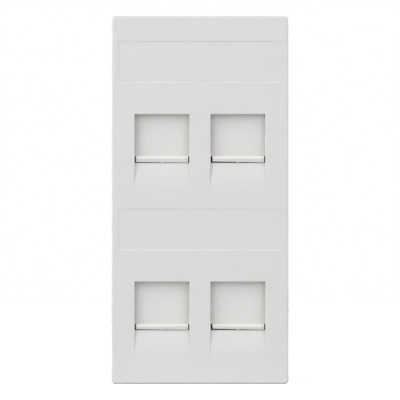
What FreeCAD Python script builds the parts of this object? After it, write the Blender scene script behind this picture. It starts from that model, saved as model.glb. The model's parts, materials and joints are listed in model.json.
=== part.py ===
import FreeCAD, Part
import math
import os

import Sketcher

os.makedirs("parts", exist_ok=True)
doc = FreeCAD.newDocument("keystone_faceplate")
V = FreeCAD.Vector

# Every body is drawn as seen from the front: x to the right, y up, z towards the viewer.
# z is 0 on the rear rim, so plate_depth is the front face. Lengths are in millimetres.
SIZES = {
    # face plate
    "plate_width": 52.0,
    "plate_height": 108.0,
    "plate_depth": 8.0,
    "face_wall": 2.0,
    "side_wall": 1.6,
    "corner_round": 1.0,
    "edge_round": 0.6,
    # centres of the windows: their pitch across, and from the plate's top and bottom edges
    "port_pitch": 22.3,
    "top_margin": 36.05,
    "bottom_margin": 22.8,
    # windows, the ramp below each and the label field above each row
    "window_width": 16.05,
    "window_height": 14.4,
    "window_chamfer": 0.2,
    "ramp_length": 8.0,
    "ramp_sink": 1.2,
    "ramp_cheek": 1.2,
    "ramp_flare": 0.3,
    "ramp_clearance": 0.15,
    "label_margin": 2.1,
    "label_height": 12.0,
    "label_lift": 9.45,
    "label_sink": 0.14,
    "label_slope": 0.25,
    "notch_set": 1.1,
    "notch_width": 5.3,
    "notch_rise": 0.15,
    "notch_drop": 0.6,
    "notch_sink": 0.25,
    # shutters and their tracks
    "shutter_thick": 1.3,
    "shutter_overlap": 0.8,
    "front_play": 0.15,
    "back_play": 0.2,
    "track_clearance": 0.1,
    "floor_gap": 0.2,
    "lip_gap": 0.5,
    "lip_height": 1.85,
    "lip_reach": 1.5,
    "lip_round": 0.9,
    "lip_edge": 0.15,
    "travel": 12.0,
    "rib_thick": 1.0,
    "stop_clearance": 0.1,
    # spring, its seat on the shutter and its abutment on the carrier
    "wire": 0.2,
    "coil_diameter": 2.8,
    "coil_turns": 8.0,
    "spring_clearance": 0.2,
    "post_clearance": 0.2,
    "post_length": 3.0,
    "pin_length": 1.5,
    "seat_margin": 0.3,
    "seat_height": 2.3,
    "seat_clearance": 0.35,
    "slot_clearance": 0.2,
    "abutment_thick": 1.5,
    # jack carrier: its base, which leaves a gap to the plate's end and to the next carrier
    "base_thick": 1.5,
    "base_inset": 0.4,
    "end_gap": 2.9,
    "row_gap": 3.2,
    "jack_width": 14.9,
    "nose_height": 16.5,
    "nose_lift": 1.55,
    "ledge_height": 19.3,
    "ledge_lift": 0.2,
    "ledge_set": 8.3,
    "ledge_thick": 1.6,
    "catch_drop": 1.6,
    "catch_rise": 1.75,
    "catch_chamfer": 0.8,
    "frame_wall": 1.3,
    "frame_round": 0.8,
    "strap_height": 1.6,
    "strap_thick": 1.0,
    "strap_foot": 1.5,
    "tie_thick": 1.2,
    "tie_depth": 5.0,
    # screws and bosses
    "wall_gap": 0.4,
    "screw_gap": 0.6,
    "ear_margin": 0.4,
    "boss_wall": 1.3,
    "pilot_clearance": 0.05,
    "tip_clearance": 0.25,
    "hole_clearance": 0.35,
    "shank_diameter": 1.7,
    "screw_length": 4.0,
    "head_diameter": 4.0,
    "head_height": 1.4,
    "recess_span": 2.4,
    "recess_width": 0.7,
    "recess_depth": 0.8,
    # snap hooks along the top and bottom, and the rib between the carriers
    "hook_x": 14.0,
    "hook_width": 7.0,
    "hook_thick": 1.4,
    "hook_inset": 1.2,
    "hook_reach": 6.5,
    "grip": 2.0,
    "nose_out": 1.1,
    "nose_flat": 0.5,
    "cross_rib_thick": 1.2,
    "cross_rib_depth": 5.0,
}
# how far a cutting shape stands clear of the face it starts from
CLEAR = 1.0

sheet = doc.addObject("Spreadsheet::Sheet", "Sizes")
for row, (name, value) in enumerate(SIZES.items(), 1):
    sheet.set(f"A{row}", name.replace("_", " "))
    sheet.set(f"B{row}", str(value))
    sheet.setAlias(f"B{row}", name)
doc.recompute()


class Size:
    """A number and the sheet expression it comes from, so sums made with it stay bound to the sheet."""

    def __init__(self, text, value):
        self.text, self.value = text, value

    def join(self, sign, other, work):
        other = other if isinstance(other, Size) else Size(repr(float(other)), float(other))
        return Size(f"({self.text} {sign} {other.text})", work(self.value, other.value))

    def __add__(self, other):
        return self.join("+", other, lambda a, b: a + b)

    def __sub__(self, other):
        return self.join("-", other, lambda a, b: a - b)

    def __mul__(self, other):
        return self.join("*", other, lambda a, b: a * b)

    def __truediv__(self, other):
        return self.join("/", other, lambda a, b: a / b)

    def __neg__(self):
        return self * -1


def smaller(a, b):
    return Size(f"min({a.text}; {b.text})", min(a.value, b.value))


class Sheet:
    """The sheet's sizes as attributes."""

    def __getattr__(self, name):
        return Size(f"Sizes.{name}", SIZES[name])


S = Sheet()
ZERO = S.plate_width * 0

# places across and up the plate
half_x, half_y = S.plate_width / 2, S.plate_height / 2
inner_x, inner_y = half_x - S.side_wall, half_y - S.side_wall
columns = {"left": -S.port_pitch / 2, "right": S.port_pitch / 2}
rows = {"upper": half_y - S.top_margin, "lower": S.bottom_margin - half_y}

# heights above the rim plane, named once and used by every body
front = S.plate_depth
wall_back = front - S.face_wall
shutter_front = wall_back - S.front_play
shutter_back = shutter_front - S.shutter_thick
carrier_front = shutter_back - S.back_play
carrier_back = carrier_front - S.base_thick
ledge_front = carrier_front - S.ledge_set
ledge_back = ledge_front - S.ledge_thick
coil_outside = S.coil_diameter + S.wire
spring_axis = wall_back - S.spring_clearance - coil_outside / 2
strap_front = spring_axis - coil_outside / 2 - S.spring_clearance
strap_back = strap_front - S.strap_thick
seat_back = strap_front + S.spring_clearance

ramp_radius = (S.ramp_length * S.ramp_length + S.ramp_sink * S.ramp_sink) / (S.ramp_sink * 2)

# places measured from the centre of a window
window_x, window_y = S.window_width / 2, S.window_height / 2
panel_x = window_x + S.shutter_overlap
panel_low = -window_y + S.floor_gap
nose_low = S.nose_lift - S.nose_height / 2
nose_top = S.nose_lift + S.nose_height / 2
ledge_low = nose_low + S.ledge_lift
ledge_top = ledge_low + S.ledge_height
cavity_low = ledge_low - S.catch_drop
cavity_top = ledge_top + S.catch_rise
frame_x = S.jack_width / 2 + S.frame_wall
frame_low = cavity_low - S.frame_wall
frame_top = cavity_top + S.frame_wall
seat_low = nose_top + S.seat_clearance
panel_top = seat_low + S.seat_height
seat_x = coil_outside / 2 + S.seat_margin
slot_x = seat_x + S.slot_clearance
post_diameter = S.coil_diameter - S.wire - S.post_clearance * 2

# screws stand at the corners of a carrier, in ears beside its base
ear_radius = S.head_diameter / 2 + S.ear_margin
boss_radius = S.shank_diameter / 2 + S.pilot_clearance + S.boss_wall
pilot_diameter = S.shank_diameter + S.pilot_clearance * 2
screw_x = inner_x - S.wall_gap - ear_radius
low_screw = frame_low - S.screw_gap - S.head_diameter / 2
base_low = low_screw - ear_radius
base_top = smaller(rows["upper"] - rows["lower"] + base_low - S.row_gap, S.top_margin - S.side_wall - S.end_gap)
screw_heights = [base_top - ear_radius, low_screw]
abutment = base_top - S.abutment_thick
spring_length = abutment - panel_top


def bound(thing, name, size):
    """Sets a property of a feature by an expression on the sheet."""
    thing.setExpression(name, size.text)


def new_body(name, x=ZERO, y=ZERO, z=ZERO):
    """A body whose front looks along -Y of the shared frame, placed by sizes of the sheet."""
    body = doc.addObject("PartDesign::Body", name)
    body.Label = name
    body.Placement = FreeCAD.Placement(V(0, 0, 0), FreeCAD.Rotation(V(1, 0, 0), 90))
    for axis, size in zip("xyz", (x, y, z)):
        bound(body, f"Placement.Base.{axis}", size)
    return body


def sketch(body, plane, name, offset=ZERO):
    """A sketch on a plane of the body's origin, moved along the plane's normal (+z, -y or +x)."""
    made = body.newObject("Sketcher::SketchObject", name)
    made.AttachmentSupport = [(next(f for f in body.Origin.OriginFeatures if f.Role == plane), "")]
    made.MapMode = "FlatFace"
    bound(made, "AttachmentOffset.Base.z", offset)
    return made


def hold(made, kind, where, size):
    """One dimension of a sketch, bound to the sheet."""
    at = made.addConstraint(Sketcher.Constraint(kind, *where, size.value))
    bound(made, f"Constraints[{at}]", size)


def outline(made, points, arc_radius=None):
    """A closed outline of straight lines through points given as pairs of sizes. With a radius, the
    side that closes it is an arc, which ends level at the first point."""
    start, count = made.GeometryCount, len(points)
    ends = [V(x.value, y.value, 0) for x, y in points]
    sides = [Part.LineSegment(ends[i], ends[(i + 1) % count]) for i in range(count)]
    if arc_radius:
        radius = arc_radius.value
        turn = math.asin((ends[-1].x - ends[0].x) / radius)
        whole = Part.Circle(ends[0] - V(0, radius, 0), V(0, 0, 1), radius)
        sides[-1] = Part.ArcOfCircle(whole, math.pi / 2 - turn, math.pi / 2)
    for side in sides:
        made.addGeometry(side, False)
    for i in range(count):
        made.addConstraint(Sketcher.Constraint("Coincident", start + i, 2, start + (i + 1) % count, 1))
    for i, (x, y) in enumerate(points):
        hold(made, "DistanceX", (-1, 1, start + i, 1), x)
        hold(made, "DistanceY", (-1, 1, start + i, 1), y)
    if arc_radius:
        hold(made, "Radius", (start + count - 1,), arc_radius)


def rectangle(made, left, low, right, high):
    outline(made, [(left, low), (right, low), (right, high), (left, high)])


def circle(made, x, y, diameter):
    shape = Part.Circle(V(x.value, y.value, 0), V(0, 0, 1), diameter.value / 2)
    at = made.addGeometry(shape, False)
    hold(made, "DistanceX", (-1, 1, at, 3), x)
    hold(made, "DistanceY", (-1, 1, at, 3), y)
    hold(made, "Diameter", (at,), diameter)


def extrude(kind, made, length, backwards=False, both_ways=False):
    """A pad or pocket of a sketch. A pad runs along the sketch's normal and a pocket against it."""
    feature = made.getParentGeoFeatureGroup().newObject(f"PartDesign::{kind}", f"{kind}_{made.Name}")
    feature.Profile = made
    feature.Reversed = backwards
    if both_ways:
        feature.SideType = "Symmetric"
    bound(feature, "Length", length)
    return feature


def dress(body, kind, name, size, chosen):
    """Fillets or chamfers the edges of the body so far for which chosen(edge's box) is true."""
    doc.recompute()
    base = body.Tip
    edges = [f"Edge{i}" for i, e in enumerate(base.Shape.Edges, 1) if chosen(e.BoundBox)]
    feature = body.newObject(f"PartDesign::{kind}", name)
    feature.Base = (base, edges)
    bound(feature, "Radius" if kind == "Fillet" else "Size", size)
    return feature


def near(a, b):
    """Whether two coordinates are the same to a few micrometres."""
    return abs(a - (b.value if isinstance(b, Size) else b)) < 0.005


def upright(box):
    """Whether an edge runs along z only."""
    return near(box.XLength, 0) and near(box.YLength, 0)


def make_face_plate():
    body = new_body("face_plate")
    made = sketch(body, "XY_Plane", "face_outline")
    rectangle(made, -half_x, -half_y, half_x, half_y)
    extrude("Pad", made, front)
    dress(body, "Fillet", "corner_fillets", S.corner_round, upright)
    dress(body, "Fillet", "front_fillets", S.edge_round,
          lambda box: near(box.ZMin, front) and near(box.ZMax, front))

    made = sketch(body, "XY_Plane", "rear_hollow")
    rectangle(made, -inner_x, -inner_y, inner_x, inner_y)
    extrude("Pocket", made, wall_back, backwards=True)

    # material behind each ramp, where the ramp sinks deeper than the face wall
    for side, x in columns.items():
        made = sketch(body, "YZ_Plane", f"ramp_back_{side}", x)
        for y in rows.values():
            sill = y - window_y
            outline(made, [(sill, carrier_front + S.ramp_clearance), (sill, front - S.edge_round),
                           (sill - S.ramp_length, front - S.edge_round), (sill - S.ramp_length, wall_back)])
        extrude("Pad", made, S.window_width + (S.ramp_flare + S.ramp_cheek) * 2, both_ways=True)

    # a track round three sides of each shutter: ribs beside it and stops under its corners
    made = sketch(body, "XY_Plane", "shutter_tracks", wall_back)
    track_x = panel_x + S.track_clearance
    for x in columns.values():
        for y in rows.values():
            for side in (-1, 1):
                low, high = y + panel_low, y + panel_top + S.travel + S.track_clearance
                inside, outside = x + track_x * side, x + (track_x + S.rib_thick) * side
                stop = x + (window_x + S.stop_clearance) * side
                outline(made, [(stop, low), (inside, low), (inside, high), (outside, high),
                               (outside, low - S.rib_thick), (stop, low - S.rib_thick)])
    extrude("Pad", made, wall_back - carrier_front, backwards=True)

    # bosses for the carriers' screws
    bosses = sketch(body, "XY_Plane", "screw_bosses", wall_back)
    pilots = sketch(body, "XY_Plane", "pilot_holes", carrier_front)
    for y in rows.values():
        for height in screw_heights:
            for side in (-1, 1):
                circle(bosses, screw_x * side, y + height, boss_radius * 2)
                circle(pilots, screw_x * side, y + height, pilot_diameter)
    extrude("Pad", bosses, wall_back - carrier_front, backwards=True)

    # a rib across the plate in the gap between the two carriers
    made = sketch(body, "XY_Plane", "cross_rib", wall_back)
    middle = (rows["upper"] + base_low + rows["lower"] + base_top) / 2
    rectangle(made, -inner_x, middle - S.cross_rib_thick / 2, inner_x, middle + S.cross_rib_thick / 2)
    extrude("Pad", made, S.cross_rib_depth, backwards=True)

    # snap hooks: springy arms whose catch faces look at the rim
    for side, x in (("left", -S.hook_x), ("right", S.hook_x)):
        made = sketch(body, "YZ_Plane", f"snap_hooks_{side}", x)
        outer, arm = inner_y - S.hook_inset, inner_y - S.hook_inset - S.hook_thick
        for end in (-1, 1):
            outline(made, [(arm * end, wall_back), (outer * end, wall_back), (outer * end, -S.grip),
                           ((outer + S.nose_out) * end, -S.grip),
                           ((outer + S.nose_out) * end, -S.grip - S.nose_flat),
                           (outer * end, -S.hook_reach), (arm * end, -S.hook_reach)])
        extrude("Pad", made, S.hook_width, both_ways=True)

    # each ramp is sunk as a flat-bottomed recess and filled back to a curve that runs out into the face
    made = sketch(body, "XY_Plane", "ramp_recesses", front + CLEAR)
    for x in columns.values():
        for y in rows.values():
            sill, foot = y - window_y, y - window_y - S.ramp_length
            wide = window_x + S.ramp_flare
            outline(made, [(x - window_x, sill), (x - wide, foot), (x + wide, foot), (x + window_x, sill)])
    extrude("Pocket", made, S.ramp_sink + CLEAR)
    for side, x in columns.items():
        made = sketch(body, "YZ_Plane", f"ramp_slopes_{side}", x)
        for y in rows.values():
            sill, foot = y - window_y, y - window_y - S.ramp_length
            outline(made, [(foot, front), (foot, front - S.ramp_sink), (sill, front - S.ramp_sink)], ramp_radius)
        extrude("Pad", made, S.window_width + (S.ramp_flare + S.ramp_cheek / 2) * 2, both_ways=True)

    # windows, with a chamfer that fades out down the sides of the ramps
    openings = sketch(body, "XY_Plane", "windows", front + CLEAR)
    chamfers = sketch(body, "XY_Plane", "window_chamfers", front)
    wide = window_x + S.window_chamfer
    for x in columns.values():
        for y in rows.values():
            sill, head = y - window_y, y + window_y
            rectangle(openings, x - window_x, sill, x + window_x, head)
            rectangle(chamfers, x - wide, sill - S.ramp_length / 2, x + wide, head + S.window_chamfer)
    extrude("Pocket", openings, S.plate_depth + CLEAR)
    extrude("Pocket", chamfers, S.window_chamfer).TaperAngle = -45

    # shallow label fields, each with a sloped lower edge, and a scoop to lift the upper label from
    made = sketch(body, "XY_Plane", "label_fields", front + CLEAR)
    field_x = half_x - S.label_margin
    for y in rows.values():
        low = y + window_y + S.label_lift
        rectangle(made, -field_x, low, field_x, low + S.label_height)
    extrude("Pocket", made, S.label_sink + CLEAR)
    made = sketch(body, "YZ_Plane", "label_slopes")
    for y in rows.values():
        low = y + window_y + S.label_lift
        outline(made, [(low, front - S.label_sink), (low - S.label_slope, front),
                       (low - S.label_slope, front + CLEAR), (low, front + CLEAR)])
    extrude("Pocket", made, field_x * 2, both_ways=True)
    made = sketch(body, "YZ_Plane", "label_notch", S.notch_set)
    edge = rows["upper"] + window_y + S.label_lift
    foot, top = edge - S.notch_drop, edge + S.notch_rise
    outline(made, [(foot, front), (foot, front + CLEAR), (top, front + CLEAR), (top, front - S.notch_sink)])
    extrude("Pocket", made, S.notch_width, both_ways=True)
    extrude("Pocket", pilots, carrier_back + S.screw_length + S.tip_clearance - carrier_front, backwards=True)


def make_shutter(name, x, y):
    body = new_body(name, x=x, z=y)
    made = sketch(body, "XY_Plane", f"{name}_panel", shutter_back)
    rectangle(made, -panel_x, panel_low, panel_x, panel_top)
    extrude("Pad", made, S.shutter_thick)
    made = sketch(body, "XY_Plane", f"{name}_lip", shutter_front)
    lip_x = window_x - S.lip_gap
    rectangle(made, -lip_x, panel_low, lip_x, panel_low + S.lip_height)
    extrude("Pad", made, S.lip_reach)
    nose = shutter_front + S.lip_reach
    for edge, size, height in (("round", S.lip_round, panel_low + S.lip_height), ("edge", S.lip_edge, panel_low)):
        dress(body, "Fillet", f"{name}_lip_{edge}", size,
              lambda box: near(box.ZMin, nose) and near(box.YMin, height) and near(box.YMax, height))
    made = sketch(body, "XY_Plane", f"{name}_seat", shutter_back)
    rectangle(made, -seat_x, seat_low, seat_x, panel_top)
    extrude("Pad", made, shutter_back - seat_back, backwards=True)
    made = sketch(body, "XZ_Plane", f"{name}_post", -panel_top)
    circle(made, ZERO, spring_axis, post_diameter)
    extrude("Pad", made, S.post_length, backwards=True)


def make_spring(name, x, y):
    """A coil with closed ends ground flat, drawn as straight runs so that it stays light."""
    per_turn, sides = 7, 4
    wire, radius, length = S.wire.value, S.coil_diameter.value / 2, spring_length.value
    turns = S.coil_turns.value
    closed = wire * 1.3
    count = round(turns * per_turn)
    points = []
    for i in range(count + 1):
        turn = turns * i / count
        middle = closed + (turn - 1) * (length - wire / 2 - 2 * closed) / (turns - 2)
        rise = closed * turn if turn < 1 else length - wire / 2 - closed * (turns - turn)
        angle = 2 * math.pi * turn
        height = middle if 1 <= turn <= turns - 1 else rise
        points.append(V(radius * math.cos(angle), radius * math.sin(angle), wire / 4 + height))
    along = (points[1] - points[0]).normalize()
    out = along.cross(V(1, 0, 0)).normalize()
    up = out.cross(along)
    ring = [points[0] + out * (wire / 2 * math.cos(a)) + up * (wire / 2 * math.sin(a))
            for a in (2 * math.pi * k / sides for k in range(sides + 1))]
    coil = Part.makePolygon(points).makePipeShell([Part.makePolygon(ring)], True, False, 1)
    ground = Part.makeCylinder(radius + wire, length)
    made = doc.addObject("Part::Feature", name)
    made.Label = name
    made.Shape = coil.common(ground)
    made.Placement = FreeCAD.Placement(V(0, 0, 0), FreeCAD.Rotation())
    for axis, size in zip("xyz", (x, -spring_axis, y + panel_top)):
        bound(made, f"Placement.Base.{axis}", size)


def make_carrier(name, y):
    body = new_body(name, z=y)
    half = screw_x - S.base_inset
    made = sketch(body, "XY_Plane", f"{name}_base", carrier_front)
    rectangle(made, -half, base_low, half, base_top)
    extrude("Pad", made, S.base_thick, backwards=True)
    ears = sketch(body, "XY_Plane", f"{name}_ears", carrier_front)
    holes = sketch(body, "XY_Plane", f"{name}_screw_holes", carrier_front)
    for height in screw_heights:
        for side in (-1, 1):
            circle(ears, screw_x * side, height, ear_radius * 2)
            circle(holes, screw_x * side, height, S.shank_diameter + S.hole_clearance * 2)
    extrude("Pad", ears, S.base_thick, backwards=True)

    # a frame for each jack, and the tie between the frames
    made = sketch(body, "XY_Plane", f"{name}_frames", carrier_front)
    for x in columns.values():
        rectangle(made, x - frame_x, frame_low, x + frame_x, frame_top)
    extrude("Pad", made, carrier_front - ledge_back, backwards=True)
    dress(body, "Fillet", f"{name}_frame_fillets", S.frame_round,
          lambda box: upright(box) and near(box.ZMin, ledge_back)
          and (near(box.YMin, frame_low) or near(box.YMin, frame_top)))
    made = sketch(body, "XY_Plane", f"{name}_ties", carrier_back)
    reach = S.port_pitch / 2 - frame_x + S.frame_wall / 2
    for height in (nose_low, nose_top):
        rectangle(made, -reach, height - S.tie_thick / 2, reach, height + S.tie_thick / 2)
    extrude("Pad", made, S.tie_depth, backwards=True)

    # straps that keep each spring in its slot
    made = sketch(body, "XY_Plane", f"{name}_straps", carrier_back)
    strap_x = slot_x + S.strap_foot
    for x in columns.values():
        for quarter in (1, 2, 3):
            middle = panel_top + spring_length * quarter / 4
            rectangle(made, x - strap_x, middle - S.strap_height / 2, x + strap_x, middle + S.strap_height / 2)
    extrude("Pad", made, carrier_back - strap_back, backwards=True)

    # openings for the nose, body and rear of each jack, then the spring slots and screw holes
    nose = sketch(body, "XY_Plane", f"{name}_noses", carrier_front)
    cavity = sketch(body, "XY_Plane", f"{name}_cavities", carrier_back)
    ledge = sketch(body, "XY_Plane", f"{name}_ledges", ledge_front)
    slots = sketch(body, "XY_Plane", f"{name}_slots", carrier_front)
    jack_x = S.jack_width / 2
    for x in columns.values():
        rectangle(nose, x - jack_x, nose_low, x + jack_x, nose_top)
        rectangle(cavity, x - jack_x, cavity_low, x + jack_x, cavity_top)
        rectangle(ledge, x - jack_x, ledge_low, x + jack_x, ledge_top)
        rectangle(slots, x - slot_x, nose_top - S.frame_wall, x + slot_x, abutment)
    extrude("Pocket", nose, S.base_thick)
    extrude("Pocket", cavity, carrier_back - ledge_front)
    extrude("Pocket", ledge, S.ledge_thick)
    extrude("Pocket", slots, carrier_front - strap_front)
    extrude("Pocket", holes, S.base_thick)
    dress(body, "Chamfer", f"{name}_catches", S.catch_chamfer,
          lambda box: near(box.ZMin, ledge_back) and near(box.ZLength, 0)
          and near(box.YMin, ledge_top) and near(box.YLength, 0))

    # the abutment of each spring and the pin that centres it
    made = sketch(body, "XY_Plane", f"{name}_abutments", carrier_front)
    for x in columns.values():
        rectangle(made, x - seat_x, abutment, x + seat_x, base_top)
    extrude("Pad", made, shutter_front - carrier_front)
    made = sketch(body, "XZ_Plane", f"{name}_pins", -abutment)
    for x in columns.values():
        circle(made, x, spring_axis, post_diameter)
    extrude("Pad", made, S.pin_length)


def make_screw(name, x, y):
    body = new_body(name, x=x, y=-carrier_back, z=y)
    made = sketch(body, "XZ_Plane", f"{name}_profile")
    shank, head = S.shank_diameter / 2, S.head_diameter / 2
    outline(made, [(ZERO, S.screw_length), (shank, S.screw_length), (shank, ZERO), (head, ZERO),
                   (head, -S.head_height), (ZERO, -S.head_height)])
    turned = body.newObject("PartDesign::Revolution", f"{name}_turned")
    turned.Profile = made
    turned.ReferenceAxis = (made, ["V_Axis"])
    turned.Angle = 360
    made = sketch(body, "XY_Plane", f"{name}_recess", -S.head_height)
    long, short = S.recess_span / 2, S.recess_width / 2
    quarter = [(long, -short), (long, short), (short, short)]
    points = []
    for _ in range(4):
        points += quarter
        quarter = [(-b, a) for a, b in quarter]
    outline(made, points)
    extrude("Pocket", made, S.recess_depth, backwards=True)


make_face_plate()
for up, y in rows.items():
    for across, x in columns.items():
        make_shutter(f"shutter_{up}_{across}", x, y)
        make_spring(f"spring_{up}_{across}", x, y)
    make_carrier(f"{up}_jack_carrier", y)
    corners = [(screw_x * side, y + height) for height in screw_heights for side in (-1, 1)]
    for number, (x, height) in enumerate(corners, 1):
        make_screw(f"{up}_carrier_screw_{number}", x, height)
doc.recompute()

for thing in doc.Objects:
    if "Invalid" in thing.State or "Error" in thing.State:
        raise RuntimeError(f"{thing.Label} didn't build: {thing.State}")
pieces = [o for o in doc.Objects if o.TypeId in ("PartDesign::Body", "Part::Feature")]
for piece in pieces:
    if piece.Shape.isNull() or not piece.Shape.isValid() or len(piece.Shape.Solids) != 1:
        raise RuntimeError(f"{piece.Label} isn't one valid solid")
    piece.Shape.exportStep(f"parts/{piece.Label}.step")
print(len(pieces), "pieces written")
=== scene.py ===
"""Keystone faceplate with four shuttered jack windows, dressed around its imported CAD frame."""

import json
import math

import bmesh
import bpy
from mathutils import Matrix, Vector


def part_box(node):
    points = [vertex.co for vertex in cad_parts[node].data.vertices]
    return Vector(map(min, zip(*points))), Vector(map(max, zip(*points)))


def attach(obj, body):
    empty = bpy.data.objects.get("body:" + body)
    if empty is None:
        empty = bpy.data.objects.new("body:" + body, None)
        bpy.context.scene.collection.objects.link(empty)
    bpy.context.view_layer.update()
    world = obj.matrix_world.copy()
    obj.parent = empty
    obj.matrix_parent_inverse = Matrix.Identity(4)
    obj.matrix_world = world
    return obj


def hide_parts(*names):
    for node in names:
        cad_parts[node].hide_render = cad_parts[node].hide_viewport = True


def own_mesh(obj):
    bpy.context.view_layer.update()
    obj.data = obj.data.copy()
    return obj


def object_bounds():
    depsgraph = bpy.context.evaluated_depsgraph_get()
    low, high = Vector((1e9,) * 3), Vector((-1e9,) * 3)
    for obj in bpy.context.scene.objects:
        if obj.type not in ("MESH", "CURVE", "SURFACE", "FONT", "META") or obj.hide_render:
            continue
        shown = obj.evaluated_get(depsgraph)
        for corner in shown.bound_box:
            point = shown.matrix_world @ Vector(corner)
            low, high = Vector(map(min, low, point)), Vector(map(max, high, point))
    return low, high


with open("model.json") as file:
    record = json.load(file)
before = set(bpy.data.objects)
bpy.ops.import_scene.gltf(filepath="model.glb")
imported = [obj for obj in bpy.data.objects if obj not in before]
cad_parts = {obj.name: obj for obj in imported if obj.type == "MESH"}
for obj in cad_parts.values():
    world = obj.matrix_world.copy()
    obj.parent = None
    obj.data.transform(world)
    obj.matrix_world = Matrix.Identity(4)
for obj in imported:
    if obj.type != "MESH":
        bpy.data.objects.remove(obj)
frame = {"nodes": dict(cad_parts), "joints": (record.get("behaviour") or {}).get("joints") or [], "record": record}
CAD_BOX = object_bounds()

bl_info = {
    "name": "Keystone Faceplate",
    "version": (1, 0, 0),
    "blender": (4, 5, 0),
    "location": "3D View > Sidebar > Faceplate",
    "description": "Mouldings, springs, screws and studio of a four-port shuttered faceplate",
    "category": "Object",
}

MM = 0.001
ROWS = ("upper", "lower")
COLUMNS = ("left", "right")
SHUTTERS = [(row, column) for row in ROWS for column in COLUMNS]
WHITE = (1.0, 1.0, 1.0, 1.0)
BLACK = (0.0, 0.0, 0.0, 1.0)

# coordinates nearer than this are the same
SAME = 0.005 * MM
# doubles that are merged in a moulding, and at the seam and poles of a turned piece
MERGED = 0.002 * MM
SEAM = 0.001 * MM
# facets within this angle are one flat face, and edges past the next one are rounded
FLAT = math.radians(0.5)
SHARP = math.radians(28)
ROUNDING_STEPS = 2


# ---------------------------------------------------------------- node trees


class Socket:
    """An output of a node tree. Python's operators on it add Math nodes to the tree."""

    def __init__(self, tree, socket):
        self.tree = tree
        self.socket = socket

    def output(self, name):
        """Another output of the same node."""
        return Socket(self.tree, self.socket.node.outputs[name])

    def math(self, operation, *values):
        return self.tree.node(
            "ShaderNodeMath", {"operation": operation}, dict(enumerate(values))
        )

    def __add__(self, other):
        return self.math("ADD", self, other)

    def __radd__(self, other):
        return self.math("ADD", other, self)

    def __sub__(self, other):
        return self.math("SUBTRACT", self, other)

    def __rsub__(self, other):
        return self.math("SUBTRACT", other, self)

    def __mul__(self, other):
        return self.math("MULTIPLY", self, other)

    def __rmul__(self, other):
        return self.math("MULTIPLY", other, self)

    def __truediv__(self, other):
        return self.math("DIVIDE", self, other)

    def __rtruediv__(self, other):
        return self.math("DIVIDE", other, self)

    def __pow__(self, other):
        return self.math("POWER", self, other)

    def __rpow__(self, other):
        return self.math("POWER", other, self)

    def __mod__(self, other):
        return self.math("FLOORED_MODULO", self, other)

    def __rmod__(self, other):
        return self.math("FLOORED_MODULO", other, self)

    def __lt__(self, other):
        return self.math("LESS_THAN", self, other)

    def __gt__(self, other):
        return self.math("GREATER_THAN", self, other)

    def least(self, other):
        return self.math("MINIMUM", self, other)

    def most(self, other):
        return self.math("MAXIMUM", self, other)

    def floor(self):
        return self.math("FLOOR", self)

    def sine(self):
        return self.math("SINE", self)

    def cosine(self):
        return self.math("COSINE", self)


class Tree:
    """A shader or geometry node tree that is filled from Python."""

    def __init__(self, tree):
        self.tree = tree

    def node(self, kind, settings=None, inputs=None):
        """Adds a node of that kind, with its settings and the values or links of its sockets."""
        made = self.tree.nodes.new(kind)
        for name, value in (settings or {}).items():
            if name == "items":
                while len(made.index_switch_items) < value:
                    made.index_switch_items.new()
            else:
                setattr(made, name, value)
        for name, value in (inputs or {}).items():
            for one in value if isinstance(value, list) else [value]:
                if isinstance(one, Socket):
                    self.tree.links.new(one.socket, made.inputs[name])
                else:
                    made.inputs[name].default_value = one
        shown = [output for output in made.outputs if output.enabled]
        return Socket(self, shown[0]) if shown else None

    def blend(self, amount, first, second):
        """A colour between two colours."""
        return self.node(
            "ShaderNodeMix",
            {"data_type": "RGBA"},
            {0: amount, 6: first, 7: second},
        )

    def vector(self, x, y, z):
        return self.node("ShaderNodeCombineXYZ", {}, {0: x, 1: y, 2: z})

    def noise(self, where, scale, detail, roughness=0.5):
        """Soft random values between 0 and 1; scale is in features per metre."""
        return self.node(
            "ShaderNodeTexNoise",
            {"noise_dimensions": "3D"},
            {
                "Vector": where,
                "Scale": scale,
                "Detail": detail,
                "Roughness": roughness,
            },
        )

    def bump(self, height, depth, normal=None):
        """A Bump node; depth is the real height of a full step, in metres."""
        links = {"Height": height, "Strength": 1.0, "Distance": depth}
        if normal is not None:
            links["Normal"] = normal
        return self.node("ShaderNodeBump", {}, links)


def shader(name):
    """A new material and its empty tree."""
    material = bpy.data.materials.new(name)
    material.use_nodes = True
    material.node_tree.nodes.clear()
    return material, Tree(material.node_tree)


def object_place(tree):
    return tree.node("ShaderNodeTexCoord").output("Object")


def rgba(colour, factor=1.0):
    """A colour made lighter or darker, with full alpha."""
    return (*(min(c * factor, 1.0) for c in colour), 1.0)


def finish_shader(tree, surface):
    tree.node("ShaderNodeOutputMaterial", {}, {"Surface": surface})


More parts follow.
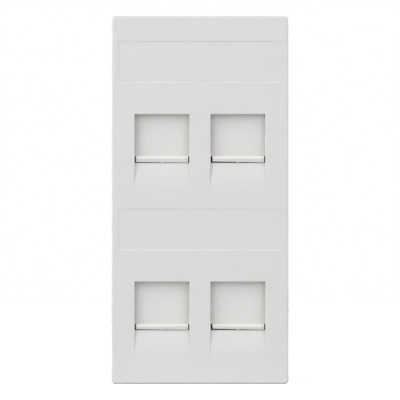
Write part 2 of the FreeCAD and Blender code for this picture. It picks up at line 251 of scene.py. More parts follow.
class Builder:
    """A Geometry Nodes tree with named inputs, run once to give a plain mesh."""

    def __init__(self, name):
        self.group = bpy.data.node_groups.new(name, "GeometryNodeTree")
        self.group.interface.new_socket(
            "Geometry", in_out="INPUT", socket_type="NodeSocketGeometry"
        )
        self.group.interface.new_socket(
            "Geometry", in_out="OUTPUT", socket_type="NodeSocketGeometry"
        )
        self.tree = Tree(self.group)
        self.entry = None

    def inputs(self, **kinds):
        for name, kind in kinds.items():
            self.group.interface.new_socket(
                name, in_out="INPUT", socket_type="NodeSocket" + kind
            )
        self.entry = self.tree.node("NodeGroupInput")
        return [self.entry.output(name) for name in kinds]

    def geometry(self):
        """The points that the tree works on."""
        return self.entry.output("Geometry")

    def close(self, shape, material):
        """Ends the tree: instances made real, one material, one output."""
        real = self.tree.node("GeometryNodeRealizeInstances", {}, {"Geometry": shape})
        coated = self.tree.node(
            "GeometryNodeSetMaterial", {}, {"Geometry": real, "Material": material}
        )
        self.tree.node("NodeGroupOutput", {}, {"Geometry": coated})

    def run(self, name, points, **values):
        """Makes the object: the tree works on loose points, and its result becomes the mesh."""
        seed = bpy.data.meshes.new(name + "_points")
        seed.from_pydata([tuple(p) for p in points], [], [])
        piece = bpy.data.objects.new(name, seed)
        bpy.context.scene.collection.objects.link(piece)
        modifier = piece.modifiers.new("build", "NODES")
        modifier.node_group = self.group
        for item in self.group.interface.items_tree:
            if item.in_out == "INPUT" and item.name in values:
                modifier[item.identifier] = values[item.name]
        depsgraph = bpy.context.evaluated_depsgraph_get()
        mesh = bpy.data.meshes.new_from_object(
            piece.evaluated_get(depsgraph), depsgraph=depsgraph
        )
        piece.modifiers.remove(modifier)
        mesh.name = name
        piece.data = mesh
        bpy.data.meshes.remove(seed)
        if not mesh.polygons:
            raise RuntimeError(name + " came out empty")
        return piece


# ----------------------------------------------------------------- materials

# noise detail of drifts, patches and grains, and how rough a grain is
DRIFT_DETAIL = 1.0
PATCH_DETAIL = 2.0
GRAIN_DETAIL = 3.0
GRAIN_ROUGHNESS = 0.6

# plastic: scales are in features per metre
TONE_SCALE = 22.0
WAVE_SCALE = 160.0
WAVE_DEPTH = 0.03 * MM
SHINE_SCALE = 420.0
SHINE_SHIFT = 0.12
PLASTIC_IOR = 1.52
# painted shade: an ambient occlusion node darkens the plastic's base colour in corners within this distance
PAINTED_SHADE_REACH = 1.6 * MM
PAINTED_SHADE_SAMPLES = 4
# mesh attribute: 1 and over where the painted corner shade is left out, 0 and under where it is whole
PAINTED_SHADE_OFF = "lit"
# a face looks to the front where its normal's y is below this
FRONTWARD = -0.5

# steel
CLOUD_SCALE = 900.0
CLOUD_TONES = (0.88, 1.08)
CLOUD_SHINE = 0.15
SCRATCH_SCALE = 9000.0
SCRATCH_DEPTH = 0.004 * MM


def moulded_plastic(name, look, front_painted_shade=0.0):
    """Moulded white plastic: fine spark grain, slow waves, and painted shade in its corners from an ambient
    occlusion node that darkens the base colour.
    """
    material, tree = shader(name)
    where = object_place(tree)
    darker = rgba(look.colour, 1 - look.tone_shift)
    lighter = rgba(look.colour, 1 + look.tone_shift)
    tone = tree.blend(tree.noise(where, TONE_SCALE, DRIFT_DETAIL), darker, lighter)
    # painted shade: ambient occlusion near corners and recesses darkens the base colour
    near = tree.node(
        "ShaderNodeAmbientOcclusion", {"samples": PAINTED_SHADE_SAMPLES}, {"Distance": PAINTED_SHADE_REACH}
    )
    # where the mesh's attribute says so, the painted corner shade is left out
    lit = tree.node("ShaderNodeAttribute", {"attribute_name": PAINTED_SHADE_OFF}).output("Fac")
    lit = lit.most(0.0).least(1.0)
    corner = look.corner
    if front_painted_shade:
        # painted shade: faces that look to the front, deep behind the windows, get darker painted corner shade
        # than others
        normal = tree.node("ShaderNodeNewGeometry").output("Normal")
        facing = tree.node("ShaderNodeSeparateXYZ", {}, {0: normal}).output("Y")
        corner = corner + (facing < FRONTWARD) * front_painted_shade
    # share of the base colour that the painted corner shade leaves
    painted_shade_factor = near.output("AO") ** corner * (1 - lit) + lit
    patches = tree.noise(where, SHINE_SCALE, PATCH_DETAIL)
    waves = tree.bump(tree.noise(where, WAVE_SCALE, DRIFT_DETAIL), WAVE_DEPTH)
    fine = tree.noise(where, 1 / look.grain, GRAIN_DETAIL, GRAIN_ROUGHNESS)
    grain = tree.bump(fine, look.grain_depth, waves)
    surface = tree.node(
        "ShaderNodeBsdfPrincipled",
        {},
        {
            "Base Color": tree.blend(painted_shade_factor, BLACK, tone),
            "Roughness": look.roughness + (patches - 0.5) * SHINE_SHIFT,
            "Normal": grain,
            "IOR": PLASTIC_IOR,
        },
    )
    finish_shader(tree, surface)
    return material


def bright_steel(name, colour, roughness):
    """Plated steel with fine scratches and a slightly clouded shine."""
    material, tree = shader(name)
    where = object_place(tree)
    scratch = tree.noise(where, SCRATCH_SCALE, GRAIN_DETAIL, GRAIN_ROUGHNESS)
    cloud = tree.noise(where, CLOUD_SCALE, PATCH_DETAIL)
    dark, light = CLOUD_TONES
    surface = tree.node(
        "ShaderNodeBsdfPrincipled",
        {},
        {
            "Base Color": tree.blend(cloud, rgba(colour, dark), rgba(colour, light)),
            "Metallic": 1.0,
            "Roughness": roughness + (cloud - 0.5) * CLOUD_SHINE,
            "Normal": tree.bump(scratch, SCRATCH_DEPTH),
        },
    )
    finish_shader(tree, surface)
    return material


# -------------------------------------------------------------------- shapes


def clean(mesh):
    """Merges doubles and joins the facets of each flat face."""
    shape = bmesh.new()
    shape.from_mesh(mesh)
    bmesh.ops.remove_doubles(shape, verts=shape.verts, dist=MERGED)
    bmesh.ops.dissolve_limit(
        shape,
        angle_limit=FLAT,
        verts=shape.verts,
        edges=shape.edges,
    )
    shape.to_mesh(mesh)
    shape.free()


def copy_of(node, name):
    """An object with a merged copy of a CAD node's mesh."""
    mesh = frame["nodes"][node].data.copy()
    mesh.name = name
    clean(mesh)
    piece = bpy.data.objects.new(name, mesh)
    bpy.context.scene.collection.objects.link(piece)
    return piece


def prism(name, outline, along):
    """A closed prism: a flat outline drawn out along a vector."""
    shape = bmesh.new()
    base = shape.faces.new([shape.verts.new(corner) for corner in outline])
    drawn = bmesh.ops.extrude_face_region(shape, geom=[base])["geom"]
    moved = [one for one in drawn if isinstance(one, bmesh.types.BMVert)]
    bmesh.ops.translate(shape, verts=moved, vec=along)
    bmesh.ops.recalc_face_normals(shape, faces=shape.faces)
    mesh = bpy.data.meshes.new(name)
    shape.to_mesh(mesh)
    shape.free()
    piece = bpy.data.objects.new(name, mesh)
    bpy.context.scene.collection.objects.link(piece)
    return piece


def carve(piece, cuts, joins):
    """Takes the cuts away from a piece and joins the rest to it, then makes it one plain mesh."""
    tools = [("DIFFERENCE", tool) for tool in cuts] + [("UNION", tool) for tool in joins]
    for operation, tool in tools:
        step = piece.modifiers.new(tool.name, "BOOLEAN")
        step.operation = operation
        step.solver = "EXACT"
        step.object = tool
    depsgraph = bpy.context.evaluated_depsgraph_get()
    mesh = bpy.data.meshes.new_from_object(piece.evaluated_get(depsgraph), depsgraph=depsgraph)
    piece.modifiers.clear()
    old, piece.data = piece.data, mesh
    mesh.name = piece.name
    bpy.data.meshes.remove(old)
    for _operation, tool in tools:
        bpy.data.meshes.remove(tool.data)
    clean(mesh)
    if not mesh.polygons:
        raise RuntimeError(piece.name + " came out empty")


def finish(piece, body, material, softness):
    """Rounds a moulding's sharp edges and sets what it rides on and is made of."""
    mesh = piece.data
    mesh.materials.clear()
    mesh.materials.append(material)
    mesh.shade_smooth()
    rounding = piece.modifiers.new("soft edges", "BEVEL")
    rounding.width = softness
    rounding.segments = ROUNDING_STEPS
    rounding.limit_method = "ANGLE"
    rounding.angle_limit = SHARP
    rounding.use_clamp_overlap = True
    shading = piece.modifiers.new("flat faces", "WEIGHTED_NORMAL")
    shading.keep_sharp = True
    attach(piece, body)


def moulding(name, node, body, material, softness):
    """A CAD node's own shape with soft edges, which stands for the node."""
    piece = copy_of(node, name)
    finish(piece, body, material, softness)
    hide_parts(node)


# ---------------------------------------------------------------- properties


def length(name, description, default):
    return bpy.props.FloatProperty(
        name=name, description=description, default=default, min=0.0, unit="LENGTH", precision=5
    )


def share(name, description, default):
    return bpy.props.FloatProperty(
        name=name, description=description, default=default, min=0.0, max=1.0, subtype="FACTOR"
    )


def number(name, description, default):
    return bpy.props.FloatProperty(name=name, description=description, default=default, min=0.0)


def whole(name, description, default):
    return bpy.props.IntProperty(name=name, description=description, default=default, min=1)


def tint(name, description, default):
    return bpy.props.FloatVectorProperty(
        name=name,
        description=description,
        default=default,
        size=3,
        min=0.0,
        max=1.0,
        subtype="COLOR",
    )


SLOT_COLOURS = {m["slot"]: m["base_color"] for m in frame["record"]["materials"]}
# a little lighter than in the record, to make up for the painted corner shade
SHUTTER_GAIN = 1.015
SHUTTER_COLOUR = [part * SHUTTER_GAIN for part in SLOT_COLOURS["shutter_plastic"]]


class CoverLook(bpy.types.PropertyGroup):
    """Front plate with its windows, ramps and label fields."""

    colour: tint("Colour", "Colour of the plate's plastic", SLOT_COLOURS["plate_plastic"])
    roughness: share("Roughness", "How matt the plate is", 0.42)
    tone_shift: share("Tone shift", "How much the colour drifts either way", 0.006)
    grain: length("Grain", "Size of one grain of the moulded texture", 0.22 * MM)
    grain_depth: length("Grain depth", "Height of the moulded texture", 0.004 * MM)
    # painted shade: how strongly the plate's corners are darkened in its colour
    corner: share("Painted corner shade", "Power of the open share that darkens corners", 0.06)
    softness: length("Soft edges", "Rounding of the plate's sharp edges", 0.08 * MM)
    sill_drop: length("Sill drop", "From a closed shutter to its window's lower edge", 0.2 * MM)
    sill_lift: length("Sill lift", "How far each window's lower edge is raised", 0.17 * MM)
    field_depth: length("Field depth", "Depth of the label fields in the solids", 0.14 * MM)
    field_slope: length("Field slope", "Height of the fields' sloped lower edge", 0.25 * MM)
    field_fill: length("Field fill", "How much shallower the fields are", 0.025 * MM)
    rim: length("Rim", "Width of the plain rim beside the fields", 1.5 * MM)


class ShutterLook(bpy.types.PropertyGroup):
    """Sliding dust shutters."""

    colour: tint("Colour", "Colour of the shutters' plastic", SHUTTER_COLOUR)
    roughness: share("Roughness", "How matt the shutters are", 0.4)
    tone_shift: share("Tone shift", "How much the colour drifts either way", 0.008)
    grain: length("Grain", "Size of one grain of the moulded texture", 0.2 * MM)
    grain_depth: length("Grain depth", "Height of the moulded texture", 0.003 * MM)
    # painted shade: how strongly the shutters' corners are darkened in their colour
    corner: share("Painted corner shade", "Power of the open share that darkens corners", 0.24)
    # where the shutters' painted corner shade is left out near the lip, and over what height it fades in
    painted_shade_whole_at: length("Lit end", "Height above the lower edge where painted corner shade is whole", 4.4 * MM)
    painted_shade_fade: length("Lit fade", "Height over which painted corner shade comes in", 2.2 * MM)
    softness: length("Soft edges", "Rounding of the shutters' sharp edges", 0.06 * MM)
    lip_width: length("Lip width", "Width of the finger lip", 15.05 * MM)
    lip_height: length("Lip height", "From the shutter's lower end to the lip's top", 1.95 * MM)
    lip_reach: length("Lip reach", "How far the lip stands out of the panel", 1.5 * MM)
    lip_shift: length("Lip shift", "How far the lip sits to the right of the middle", 0.13 * MM)
    lip_rise: length("Lip rise", "From the shutter's lower end to the lip's foot", 0.05 * MM)
    lip_root: length("Lip root", "How far the lip goes into the panel", 0.3 * MM)
    ridge_height: length("Ridge height", "From the shutter's lower end to the ridge", 1.28 * MM)
    brow: length("Brow", "How far the lip's top edge lies behind its ridge", 0.45 * MM)
    undercut: length("Undercut", "How far the lip's foot lies behind its ridge", 0.25 * MM)
    slit: length("Slit", "Width of the slit beside each end of the lip", 0.58 * MM)
    left_slant: length("Left slant", "Slant of the lower edge, left shutters", 0.09 * MM)
    right_slant: length("Right slant", "Slant of the lower edge, right shutters", 0.18 * MM)
    left_reach: length("Left reach", "Longer left end of the lip, left shutters", 0.25 * MM)
    row_drop: length("Row drop", "How much flatter the lower row's lips are", 0.22 * MM)
    nub: length("Nub", "Width of the small stop under the lip", 0.55 * MM)
    nub_set_back: length("Nub set back", "From the lip's nose back to the stop", 0.1 * MM)
    nub_reach: length("Nub reach", "How far the stop hangs below the shutter", 0.02 * MM)


class CarrierLook(bpy.types.PropertyGroup):
    """Carriers behind the plate that hold the jacks."""

    colour: tint("Colour", "Colour of the carriers' plastic", SLOT_COLOURS["carrier_plastic"])
    roughness: share("Roughness", "How matt the carriers are", 0.55)
    tone_shift: share("Tone shift", "How much the colour drifts either way", 0.012)
    grain: length("Grain", "Size of one grain of the moulded texture", 0.18 * MM)
    grain_depth: length("Grain depth", "Height of the moulded texture", 0.008 * MM)
    # painted shade: how strongly the carriers' corners are darkened in their colour
    corner: share("Painted corner shade", "Power of the open share that darkens corners", 0.5)
    # painted shade: extra darkening of the carriers' faces that look to the front
    front_painted_shade: number("Front painted corner shade", "More of that power on faces to the front", 1.0)
    softness: length("Soft edges", "Rounding of the carriers' sharp edges", 0.1 * MM)


class SpringSizes(bpy.types.PropertyGroup):
    """Return spring above each shutter, with closed ends."""

    colour: tint("Colour", "Colour of the wire", SLOT_COLOURS["spring_steel"])
    roughness: share("Roughness", "How matt the wire is", 0.28)
    wire: length("Wire", "Diameter of the wire", 0.2 * MM)
    turns: number("Turns", "Turns of the whole coil", 8.0)
    closed_turns: number("Closed turns", "Turns at each end that touch each other", 1.0)
    steps: whole("Steps", "Points along one turn", 36)
    sides: whole("Sides", "Sides of the wire's section", 10)


class ScrewSizes(bpy.types.PropertyGroup):
    """Pan head screws that hold the carriers."""

    colour: tint("Colour", "Colour of the zinc plating", SLOT_COLOURS["screw_steel"])
    roughness: share("Roughness", "How matt the zinc plating is", 0.3)
    head: length("Head", "Diameter of the head", 4.0 * MM)
    head_height: length("Head height", "Height of the head", 1.4 * MM)
    shank: length("Shank", "Diameter of the shank", 1.7 * MM)
    recess_span: length("Recess", "Span of the cross recess", 2.4 * MM)
    recess_width: length("Recess width", "Width of a blade of the cross recess", 0.7 * MM)
    recess_depth: length("Recess depth", "Depth of the cross recess", 0.8 * MM)
    steps: whole("Steps", "Points round the head", 40)


class StageLook(bpy.types.PropertyGroup):
    """Floor, lamps, background and camera."""

    floor: tint("Floor", "Colour of the floor", (0.82, 0.82, 0.82))
    floor_lift: number("Floor lift", "Light that only the camera sees on the floor", 0.55)
    floor_glow: number("Floor glow", "Light that the floor gives by itself", 0.03)
    floor_solid: length("Solid floor", "Radius in which the floor is solid", 0.25)
    floor_edge: length("Floor edge", "Radius at which the floor has faded out", 0.7)
    ambient: number("Ambient", "Light from all round", 0.03)
    lamps: number("Lamps", "Brightness of all the lamps together", 1.05)
    lamp_size: length("Lamp size", "Width of each soft box", 0.6)
    camera_distance: length("Camera distance", "From the camera to the plate's face", 0.9)
    view_width: length("View width", "Width of the view at the plate's face", 117.4 * MM)


# ----------------------------------------------------------------- operators


def lift_sills(piece, look):
    """Raises the windows' lower edges, which lie a drop below the closed shutters."""
    for row, column in SHUTTERS:
        low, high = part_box(f"shutter_{row}_{column}")
        sill = low.z - look.sill_drop
        for vertex in piece.data.vertices:
            spot = vertex.co
            if low.x < spot.x < high.x and abs(spot.z - sill) < look.sill_drop / 2:
                spot.z += look.sill_lift


def fill_fields(piece, look):
    """Makes the label fields shallower, and keeps the angle of their sloped lower edges."""
    low, high = CAD_BOX
    spots = [vertex.co for vertex in piece.data.vertices]
    spots = [spot for spot in spots if low.x + look.rim < spot.x < high.x - look.rim]
    face = [spot for spot in spots if abs(spot.y - low.y) < SAME]
    for spot in spots:
        if abs(spot.y - low.y - look.field_depth) < SAME:
            for edge in face:
                drop = spot.z - edge.z
                if abs(edge.x - spot.x) < SAME and abs(drop - look.field_slope) < SAME:
                    edge.z += look.field_slope * look.field_fill / look.field_depth
            spot.y -= look.field_fill


class FACEPLATE_OT_cover(bpy.types.Operator):
    """Make the front plate's moulding"""

    bl_idname = "faceplate.cover"
    bl_label = "Front Plate"

    def execute(self, context):
        look = context.scene.faceplate_cover
        plastic = moulded_plastic("satin_white_plate", look)
        piece = copy_of("face_plate", "front_plate_moulding")
        lift_sills(piece, look)
        fill_fields(piece, look)
        finish(piece, "plate", plastic, look.softness)
        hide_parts("face_plate")
        return {"FINISHED"}


# cutting blocks reach this far past what they cut, and this far into what they must meet
PAST = 10 * MM
MARGIN = 1 * MM
OVERLAP = 0.1 * MM
# the plain lip is cut off this far below the panel's face
SKIM = 0.002 * MM


def shutter_tools(row, column, low, middle_x, look):
    """The prisms that cut a shutter's lower edge to shape, and those that make its finger lip."""
    slant = {"left": look.left_slant, "right": look.right_slant}[column]
    reach = look.left_reach if column == "left" else 0.0
    drop = look.row_drop if row == "lower" else 0.0
    nose = low.y
    back = low.y + look.lip_reach
    left = middle_x + look.lip_shift - look.lip_width / 2 - reach
    right = middle_x + look.lip_shift + look.lip_width / 2
    outside = look.lip_width / 2 + look.slit
    foot = low.z + look.lip_rise + slant
    ridge = low.z + look.ridge_height - drop
    top = low.z + look.lip_height - drop

    def block(name, x, y, z, depth):
        """A block between two x and two z, from y back by its depth."""
        corners = [(x[0], y, z[0]), (x[1], y, z[0]), (x[1], y, z[1]), (x[0], y, z[1])]
        return prism(f"{row}_{column}_{name}", corners, (0, depth, 0))

    start, below = back - MARGIN, low.z - MARGIN
    all_x = (middle_x - PAST, middle_x + PAST)
    all_z = (low.z - PAST, low.z + 3 * PAST)
    left_x = (middle_x - outside, left + OVERLAP)
    right_x = (right - OVERLAP, middle_x + outside)
    edge_x = (middle_x - outside + OVERLAP, middle_x + outside - OVERLAP)
    # the lower edge's cut rises towards the left
    edge = [
        (edge_x[0], start, below),
        (edge_x[1], start, below),
        (edge_x[1], start, foot - slant + OVERLAP),
        (edge_x[0], start, foot + slant + OVERLAP),
    ]
    cuts = [
        block("old_lip", all_x, low.y - PAST, all_z, PAST + look.lip_reach + SKIM),
        block("left_slit", left_x, start, (below, top), PAST),
        block("right_slit", right_x, start, (below, top), PAST),
        prism(f"{row}_{column}_lower_edge", edge, (0, PAST, 0)),
    ]
    profile = [
        (back + look.lip_root, top),
        (nose + look.brow, top),
        (nose, ridge),
        (nose + look.undercut, foot),
        (back + look.lip_root, foot),
    ]
    ends = [(left, y, z) for y, z in profile]
    lip = prism(f"{row}_{column}_lip", ends, (right - left, 0, 0))
    for vertex in lip.data.vertices:
        if vertex.co.z < ridge - SAME:
            vertex.co.z += slant * (middle_x - vertex.co.x) / outside
    half = look.nub / 2
    nub_x = (middle_x - half, middle_x + half)
    nub_z = (low.z - look.nub_reach, foot + half)
    nub = block("nub", nub_x, nose + look.nub_set_back, nub_z, look.lip_reach / 2)
    return cuts, [lip, nub]


def mark_painted_shade_off(piece, low, look):
    """Writes on a shutter where its painted corner shade is left out: at the lip and just above it."""
    lit = piece.data.attributes.new(PAINTED_SHADE_OFF, "FLOAT", "POINT")
    for vertex, value in zip(piece.data.vertices, lit.data):
        value.value = (low.z + look.painted_shade_whole_at - vertex.co.z) / look.painted_shade_fade


class FACEPLATE_OT_shutters(bpy.types.Operator):
    """Make the four sliding shutters"""

    bl_idname = "faceplate.shutters"
    bl_label = "Shutters"

    def execute(self, context):
        look = context.scene.faceplate_shutters
        plastic = moulded_plastic("satin_white_shutter", look)
        for row, column in SHUTTERS:
            node = f"shutter_{row}_{column}"
            piece = copy_of(node, f"{row}_{column}_shutter_moulding")
            low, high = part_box(node)
            carve(piece, *shutter_tools(row, column, low, (low.x + high.x) / 2, look))
            # the painted corner shade is left out at the lip
            mark_painted_shade_off(piece, low, look)
            finish(piece, f"{row}_{column}_shutter", plastic, look.softness)
            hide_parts(node)
        return {"FINISHED"}


class FACEPLATE_OT_carriers(bpy.types.Operator):
    """Make the two jack carriers"""

    bl_idname = "faceplate.carriers"
    bl_label = "Jack Carriers"

    def execute(self, context):
        look = context.scene.faceplate_carriers
        # carrier plastic with extra painted shade on faces that look to the front
        plastic = moulded_plastic("matt_white_carrier", look, look.front_painted_shade)
        for row in ROWS:
            moulding(
                f"{row}_carrier_moulding",
                f"{row}_jack_carrier",
                "plate",
                plastic,
                look.softness,
            )
        return {"FINISHED"}


def coil_builder(material):
    """Tree of a compression spring: a wire wound up z, with turns that touch at both ends."""
    builder = Builder("compression_spring")
    wire, radius, tall, turns, closed, steps, sides = builder.inputs(
        Wire="Float",
        Radius="Float",
        Height="Float",
        Turns="Float",
        Closed="Float",
        Steps="Int",
        Sides="Int",
    )
    tree = builder.tree
    count = turns * steps + 1
    line = tree.node("GeometryNodeMeshLine", {}, {"Count": count})
    turn = tree.node("GeometryNodeInputIndex") / steps
    pitch = (tall - wire - 2 * closed * wire) / (turns - 2 * closed)
    working = (turn - closed).most(0.0).least(turns - 2 * closed)
    ends = turn - working
    angle = turn * math.tau
    coiled = tree.node(
        "GeometryNodeSetPosition",
        {},
        {
            "Geometry": line,
            "Position": tree.vector(
                angle.cosine() * radius,
                angle.sine() * radius,
                wire / 2 + ends * wire + working * pitch,
            ),
        },
    )
    path = tree.node("GeometryNodeMeshToCurve", {}, {"Mesh": coiled})
    ring = tree.node(
        "GeometryNodeCurvePrimitiveCircle",
        {"mode": "RADIUS"},
        {"Resolution": sides, "Radius": wire / 2},
    )
    tube = tree.node(
        "GeometryNodeCurveToMesh",
        {},
        {"Curve": path, "Profile Curve": ring, "Fill Caps": True},
    )
    smooth = tree.node("GeometryNodeSetShadeSmooth", {}, {"Geometry": tube})
    placed = tree.node(
        "GeometryNodeInstanceOnPoints",
        {},
        {"Points": builder.geometry(), "Instance": smooth},
    )
    builder.close(placed, material)
    return builder


class FACEPLATE_OT_springs(bpy.types.Operator):
    """Wind the four return springs"""

    bl_idname = "faceplate.springs"
    bl_label = "Return Springs"

    def execute(self, context):
        sizes = context.scene.faceplate_springs
        steel = bright_steel("drawn_spring_wire", sizes.colour, sizes.roughness)
        builder = coil_builder(steel)
        for row, column in SHUTTERS:
            node = f"spring_{row}_{column}"
            low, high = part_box(node)
            middle = (low + high) / 2
            joint = next(
                j for j in frame["joints"] if j["child"] == f"{row}_{column}_shutter"
            )
            tall = high.z - low.z
            piece = builder.run(
                f"{row}_{column}_return_spring",
                [(middle.x, middle.y, low.z)],
                Wire=sizes.wire,
                Radius=(high.x - low.x - sizes.wire) / 2,
                Height=tall,
                Turns=sizes.turns,
                Closed=sizes.closed_turns,
                Steps=sizes.steps,
                Sides=sizes.sides,
            )
            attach(piece, "plate")
            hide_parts(node)
            travel = joint["range_m"][1]
            (tall - travel) / tall
            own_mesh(piece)
        return {"FINISHED"}


def screw_builder(material):
    """Tree of a pan head screw with a cross recess, set on every point, head towards +y."""
    builder = Builder("pan_head_screw")
    head, tall, shank, reach, span, width, depth, steps = builder.inputs(
        Head="Float",
        Height="Float",
        Shank="Float",
        Reach="Float",
        Span="Float",
        Width="Float",
        Depth="Float",
        Steps="Int",
    )
    tree = builder.tree
    # the turned outline, from the middle of the head's top to the tip: radius and height
    outline = [
        (head * 0.0, tall),
        (head * 0.2, tall),
        (head * 0.34, tall * 0.96),
        (head * 0.43, tall * 0.82),
        (head * 0.48, tall * 0.6),
        (head * 0.5, tall * 0.35),
        (head * 0.5, tall * 0.06),
        (head * 0.49, tall * 0.0),
        (shank * 0.56, tall * 0.0),
        (shank * 0.5, tall * -0.06),
        (shank * 0.5, reach * -0.8),
        (shank * 0.42, reach * -0.86),
        (shank * 0.12, reach * -1.0),
        (shank * 0.0, reach * -1.0),
    ]
    rows = len(outline)
    grid = tree.node("GeometryNodeMeshGrid", {}, {"Vertices X": rows, "Vertices Y": steps + 1})
    index = tree.node("GeometryNodeInputIndex")
    # a grid's vertices run along y first
    around = index % (steps + 1)
    along = (index / (steps + 1)).floor()
    radius, height = (
        tree.node(
            "GeometryNodeIndexSwitch",
            {"data_type": "FLOAT", "items": rows},
            {0: along, **{n + 1: point[k] for n, point in enumerate(outline)}},
        )
        for k in (0, 1)
    )
    angle = around / steps * math.tau
    turned = tree.node(
        "GeometryNodeSetPosition",
        {},
        {
            "Geometry": grid,
            "Position": tree.vector(angle.cosine() * radius, height, angle.sine() * radius),
        },
    )
    closed = tree.node(
        "GeometryNodeMergeByDistance", {}, {"Geometry": turned, "Distance": SEAM}
    )
    blades = []
    for size in (tree.vector(span, depth * 2, width), tree.vector(width, depth * 2, span)):
        blade = tree.node("GeometryNodeMeshCube", {}, {"Size": size})
        blades.append(
            tree.node(
                "GeometryNodeTransform",
                {},
                {"Geometry": blade, "Translation": tree.vector(0.0, tall, 0.0)},
            )
        )
    cut = tree.node(
        "GeometryNodeMeshBoolean",
        {"operation": "DIFFERENCE", "solver": "EXACT"},
        {"Mesh 1": closed, "Mesh 2": blades},
    )
    placed = tree.node(
        "GeometryNodeInstanceOnPoints",
        {},
        {"Points": builder.geometry(), "Instance": cut},
    )
    builder.close(placed, material)
    return builder


class FACEPLATE_OT_screws(bpy.types.Operator):
    """Set the eight carrier screws"""

    bl_idname = "faceplate.screws"
    bl_label = "Carrier Screws"

    def execute(self, context):
        sizes = context.scene.faceplate_screws
        steel = bright_steel("zinc_plated_screw", sizes.colour, sizes.roughness)
        builder = screw_builder(steel)
        nodes = [name for name in frame["nodes"] if "_carrier_screw_" in name]
        boxes = [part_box(node) for node in nodes]
        low, high = boxes[0]
        piece = builder.run(
            "carrier_screws",
            [
                ((lo.x + hi.x) / 2, hi.y - sizes.head_height, (lo.z + hi.z) / 2)
                for lo, hi in boxes
            ],
            Head=sizes.head,
            Height=sizes.head_height,
            Shank=sizes.shank,
            Reach=high.y - low.y - sizes.head_height,
            Span=sizes.recess_span,
            Width=sizes.recess_width,
            Depth=sizes.recess_depth,
            Steps=sizes.steps,
        )
        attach(piece, "plate")
        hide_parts(*nodes)
        return {"FINISHED"}


# soft boxes a metre from the plate: azimuth from its front, elevation, and power in watts
LAMPS = (
    ("left_low_lamp", -75, 0, 3.4),
    ("key_low_lamp", -45, 0, 1.3),
    ("key_lamp", -45, 25, 1.8),
    ("key_high_lamp", -45, 50, 2.6),
    ("top_lamp", 0, 72, 1.6),
    ("fill_lamp", 45, 25, 2.9),
    ("fill_high_lamp", 45, 50, 0.8),
    ("right_low_lamp", 75, 0, 1.0),
    ("rear_left_lamp", -145, 6, 3.9),
    ("rear_right_lamp", 145, 6, 3.9),
)


FLOOR_ROUGHNESS = 0.9
# camera: sensor in millimetres, and the nearest and furthest that it sees, in metres
SENSOR_WIDTH = 36.0
NEAREST = 0.01
FURTHEST = 20.0


def lamp(name, power, size, place, target):
    """A square area lamp that shines at a point and isn't seen itself."""
    data = bpy.data.lights.new(name, "AREA")
    data.energy = power
    data.size = size
    made = bpy.data.objects.new(name, data)
    made.location = place
    made.rotation_euler = (Vector(target) - Vector(place)).to_track_quat("-Z", "Y").to_euler()
    made.visible_camera = False
    bpy.context.scene.collection.objects.link(made)


def around(azimuth, elevation):
    """A point a metre away; azimuth 0 is in front and 90 at the right."""
    a, e = math.radians(azimuth), math.radians(elevation)
    return (math.sin(a) * math.cos(e), -math.cos(a) * math.cos(e), math.sin(e))


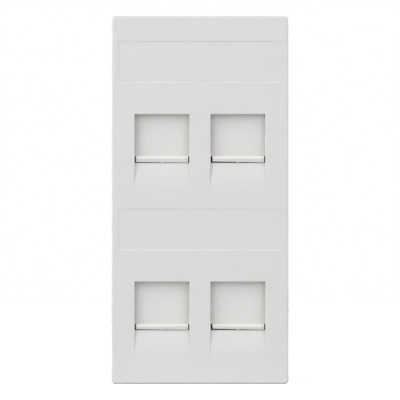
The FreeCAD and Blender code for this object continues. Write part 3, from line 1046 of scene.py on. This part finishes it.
class FACEPLATE_OT_stage(bpy.types.Operator):
    """Set up the floor, the lamps, the background and the camera"""

    bl_idname = "faceplate.stage"
    bl_label = "Studio"

    def execute(self, context):
        look = context.scene.faceplate_stage
        scene = context.scene
        scene.view_settings.view_transform = "Standard"
        low, high = CAD_BOX
        middle = (low + high) / 2
        # floor: matt, with a faint glow of its own, and faded out all round; only the camera sees
        # the lift that makes it near white
        material, tree = shader("studio_floor")
        seen = tree.node("ShaderNodeLightPath").output("Is Camera Ray")
        matt = tree.node(
            "ShaderNodeBsdfPrincipled",
            {},
            {
                "Base Color": rgba(look.floor),
                "Roughness": FLOOR_ROUGHNESS,
                "Specular IOR Level": 0.0,
            },
        )
        glow = look.floor_glow + seen * look.floor_lift
        lift = tree.node("ShaderNodeEmission", {}, {"Color": WHITE, "Strength": glow})
        lit = tree.node("ShaderNodeAddShader", {}, {0: matt, 1: lift})
        away = tree.node("ShaderNodeVectorMath", {"operation": "LENGTH"}, {0: object_place(tree)})
        past = away.output("Value") - look.floor_solid
        fade = (past / (look.floor_edge - look.floor_solid)).most(0.0).least(1.0)
        clear = tree.node("ShaderNodeBsdfTransparent")
        finish_shader(tree, tree.node("ShaderNodeMixShader", {}, {0: fade, 1: lit, 2: clear}))
        half = look.floor_edge
        mesh = bpy.data.meshes.new("studio_floor")
        mesh.from_pydata(
            [(x * half, y * half, low.z) for x, y in ((-1, -1), (1, -1), (1, 1), (-1, 1))],
            [],
            [(0, 1, 2, 3)],
        )
        mesh.materials.append(material)
        ground = bpy.data.objects.new("studio_floor", mesh)
        scene.collection.objects.link(ground)
        # background: white to the camera and in reflections, softer as a light
        world = bpy.data.worlds.new("studio")
        world.use_nodes = True
        world.node_tree.nodes.clear()
        tree = Tree(world.node_tree)
        path = tree.node("ShaderNodeLightPath")
        direct = (
            path.output("Is Camera Ray")
            .most(path.output("Is Glossy Ray"))
            .most(path.output("Is Transmission Ray"))
        )
        strength = look.ambient + (1.0 - look.ambient) * direct
        sky = tree.node("ShaderNodeBackground", {}, {"Color": WHITE, "Strength": strength})
        tree.node("ShaderNodeOutputWorld", {}, {"Surface": sky})
        scene.world = world
        for name, azimuth, elevation, power in LAMPS:
            lamp(name, power * look.lamps, look.lamp_size, around(azimuth, elevation), middle)
        data = bpy.data.cameras.new("camera")
        data.sensor_width = SENSOR_WIDTH
        data.lens = data.sensor_width * look.camera_distance / look.view_width
        data.clip_start = NEAREST
        data.clip_end = FURTHEST
        camera = bpy.data.objects.new("camera", data)
        camera.location = (0.0, low.y - look.camera_distance, middle.z)
        camera.rotation_euler = (math.pi / 2, 0.0, 0.0)
        scene.collection.objects.link(camera)
        scene.camera = camera
        return {"FINISHED"}


class FACEPLATE_PT_sidebar(bpy.types.Panel):
    """Pieces of the faceplate and what can be changed on them"""

    bl_idname = "FACEPLATE_PT_sidebar"
    bl_label = "Keystone Faceplate"
    bl_space_type = "VIEW_3D"
    bl_region_type = "UI"
    bl_category = "Faceplate"

    def draw(self, context):
        for step, group, _kind in STEPS:
            box = self.layout.box()
            box.operator(step)
            settings = getattr(context.scene, group)
            for name in settings.__annotations__:
                box.prop(settings, name)


STEPS = (
    ("faceplate.cover", "faceplate_cover", CoverLook),
    ("faceplate.shutters", "faceplate_shutters", ShutterLook),
    ("faceplate.carriers", "faceplate_carriers", CarrierLook),
    ("faceplate.springs", "faceplate_springs", SpringSizes),
    ("faceplate.screws", "faceplate_screws", ScrewSizes),
    ("faceplate.stage", "faceplate_stage", StageLook),
)
CLASSES = (
    CoverLook,
    ShutterLook,
    CarrierLook,
    SpringSizes,
    ScrewSizes,
    StageLook,
    FACEPLATE_OT_cover,
    FACEPLATE_OT_shutters,
    FACEPLATE_OT_carriers,
    FACEPLATE_OT_springs,
    FACEPLATE_OT_screws,
    FACEPLATE_OT_stage,
    FACEPLATE_PT_sidebar,
)


def register():
    for one in CLASSES:
        bpy.utils.register_class(one)
    for _step, group, kind in STEPS:
        setattr(bpy.types.Scene, group, bpy.props.PointerProperty(type=kind))


def unregister():
    for _step, group, _kind in STEPS:
        delattr(bpy.types.Scene, group)
    for one in reversed(CLASSES):
        bpy.utils.unregister_class(one)


def main():
    """Makes every piece in order."""
    register()
    bpy.ops.faceplate.cover()
    bpy.ops.faceplate.shutters()
    bpy.ops.faceplate.carriers()
    bpy.ops.faceplate.springs()
    bpy.ops.faceplate.screws()
    bpy.ops.faceplate.stage()


if __name__ == "__main__":
    main()
